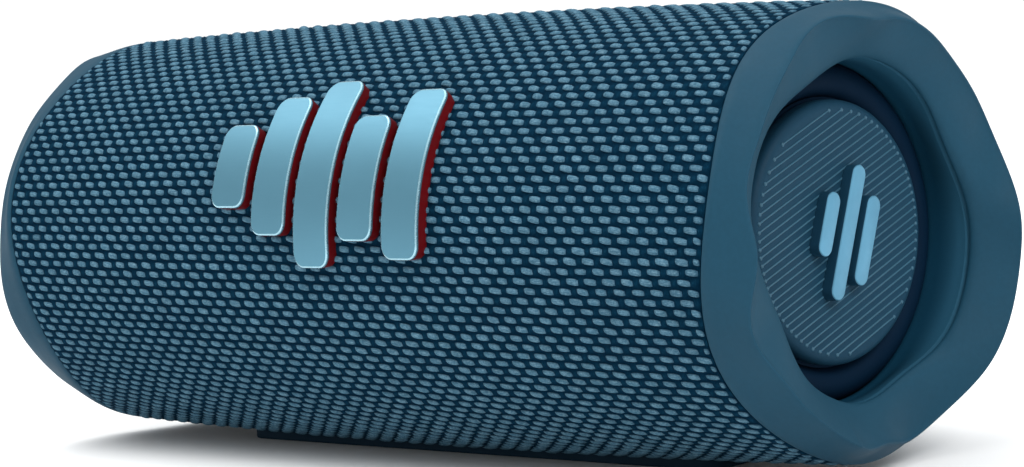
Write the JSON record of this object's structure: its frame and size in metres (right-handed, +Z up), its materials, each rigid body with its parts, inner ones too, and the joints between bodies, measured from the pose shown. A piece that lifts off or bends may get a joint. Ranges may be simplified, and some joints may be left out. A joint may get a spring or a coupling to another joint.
{
  "type": "portable party speaker",
  "caption": "Cylindrical woven-fabric portable speaker with wavy rubber end caps, sprung passive radiators, pressable buttons and a rubber foot strip.",
  "frame": {"origin": "middle of the flat underside of the foot strip, on the surface the speaker lies on", "axes": "+X along the barrel towards the right-hand end seen from the front, -Y towards the front, +Z up"},
  "size_m": [0.1784, 0.074, 0.072],
  "materials": {
    "woven_fabric": "woven polyester, light floats on a dark ground",
    "inner_plastic": "moulded ABS, matte",
    "cap_rubber": "soft-touch silicone rubber, matte",
    "screw_steel": "zinc-plated",
    "surround_rubber": "soft rubber, satin",
    "disc_rubber": "fine ribbed rubber",
    "emblem_metal": "satin pale-blue metallic paint",
    "weight_steel": "machined",
    "seal_foam": "closed-cell foam",
    "cone_paper": "pressed pulp cone",
    "coil_copper": "enamelled copper wire",
    "spider_cloth": "resin-dipped cotton",
    "magnet_grey": "nickel-plated magnet",
    "dome_metal": "anodised dome",
    "cell_wrap": "shrink wrap",
    "contact_brass": "sprung contact",
    "board_green": "solder mask",
    "chip_black": "epoxy",
    "switch_metal": "plated",
    "button_rubber": "soft rubber",
    "foot_rubber": "grippy rubber",
    "light_lens": "frosted light pipe",
    "badge_red": "satin dark red",
    "badge_metal": "satin steel-blue metallic with polished edge"
  },
  "bodies": {
    "housing": {"fabric_sleeve": "woven_fabric", "grille_frame": "inner_plastic", "end_cap_left": "cap_rubber", "end_cap_right": "cap_rubber", "radiator_frame_left": "inner_plastic", "radiator_frame_right": "inner_plastic", "radiator_screws_left": "screw_steel", "radiator_screws_right": "screw_steel", "radiator_surround_left": "surround_rubber", "radiator_surround_right": "surround_rubber", "enclosure_front": "inner_plastic", "enclosure_rear": "inner_plastic", "enclosure_seal": "seal_foam", "enclosure_screws": "screw_steel", "woofer_frame": "inner_plastic", "woofer_gasket": "seal_foam", "woofer_screws": "screw_steel", "woofer_surround": "surround_rubber", "woofer_spider": "spider_cloth", "woofer_yoke": "weight_steel", "woofer_magnet": "magnet_grey", "woofer_pole_plate": "weight_steel", "tweeter_faceplate": "inner_plastic", "tweeter_magnet": "magnet_grey", "tweeter_screws": "screw_steel", "battery_cell": "cell_wrap", "battery_clips": "contact_brass", "main_board": "board_green", "main_board_chips": "chip_black", "board_screws": "screw_steel", "button_board": "board_green", "button_switches": "switch_metal", "rear_panel": "foot_rubber", "rear_board": "board_green", "rear_switches": "switch_metal", "battery_light": "light_lens", "usb_c_port": "switch_metal", "badge_backing": "badge_red", "badge_face": "badge_metal", "base_foot": "foot_rubber"},
    "radiator_left": {"radiator_disc_left": "disc_rubber", "radiator_emblem_left": "emblem_metal", "radiator_weight_left": "weight_steel"},
    "radiator_right": {"radiator_disc_right": "disc_rubber", "radiator_emblem_right": "emblem_metal", "radiator_weight_right": "weight_steel"},
    "woofer_moving": {"woofer_cone": "cone_paper", "woofer_dust_cap": "cone_paper", "woofer_voice_coil": "coil_copper"},
    "tweeter_moving": {"tweeter_dome": "dome_metal"},
    "party_button": {"party_button": "button_rubber"},
    "volume_down_button": {"volume_down_button": "button_rubber"},
    "volume_up_button": {"volume_up_button": "button_rubber"},
    "play_button": {"play_button": "button_rubber"},
    "power_button": {"power_button": "button_rubber"},
    "pairing_button": {"pairing_button": "button_rubber"}
  },
  "joints": [
    {"name": "radiator_left_travel", "type": "slide", "parent": "housing", "child": "radiator_left", "axis": [-1, 0, 0], "range_m": [-0.003, 0.003], "stiffness_N_per_m": 900, "deforming": ["radiator_surround_left"]},
    {"name": "radiator_right_travel", "type": "slide", "parent": "housing", "child": "radiator_right", "axis": [1, 0, 0], "range_m": [-0.003, 0.003], "stiffness_N_per_m": 900, "deforming": ["radiator_surround_right"]},
    {"name": "woofer_travel", "type": "slide", "parent": "housing", "child": "woofer_moving", "axis": [0, -0.9272, 0.3746], "range_m": [-0.0025, 0.0025], "stiffness_N_per_m": 900, "deforming": ["woofer_surround", "woofer_spider"]},
    {"name": "tweeter_travel", "type": "slide", "parent": "housing", "child": "tweeter_moving", "axis": [0, -0.9272, 0.3746], "range_m": [-0.0003, 0.0003], "stiffness_N_per_m": 2000},
    {"name": "party_press", "type": "slide", "parent": "housing", "child": "party_button", "axis": [0, -0.3746, -0.9272], "range_m": [0, 0.0005], "stiffness_N_per_m": 400, "springref_m": -0.001},
    {"name": "volume_down_press", "type": "slide", "parent": "housing", "child": "volume_down_button", "axis": [0, -0.3746, -0.9272], "range_m": [0, 0.0005], "stiffness_N_per_m": 400, "springref_m": -0.001},
    {"name": "volume_up_press", "type": "slide", "parent": "housing", "child": "volume_up_button", "axis": [0, -0.3746, -0.9272], "range_m": [0, 0.0005], "stiffness_N_per_m": 400, "springref_m": -0.001},
    {"name": "play_press", "type": "slide", "parent": "housing", "child": "play_button", "axis": [0, -0.3746, -0.9272], "range_m": [0, 0.0005], "stiffness_N_per_m": 400, "springref_m": -0.001},
    {"name": "power_press", "type": "slide", "parent": "housing", "child": "power_button", "axis": [0, -0.9272, 0.3746], "range_m": [0, 0.0005], "stiffness_N_per_m": 400, "springref_m": -0.001},
    {"name": "pairing_press", "type": "slide", "parent": "housing", "child": "pairing_button", "axis": [0, -0.9272, 0.3746], "range_m": [0, 0.0005], "stiffness_N_per_m": 400, "springref_m": -0.001}
  ]
}
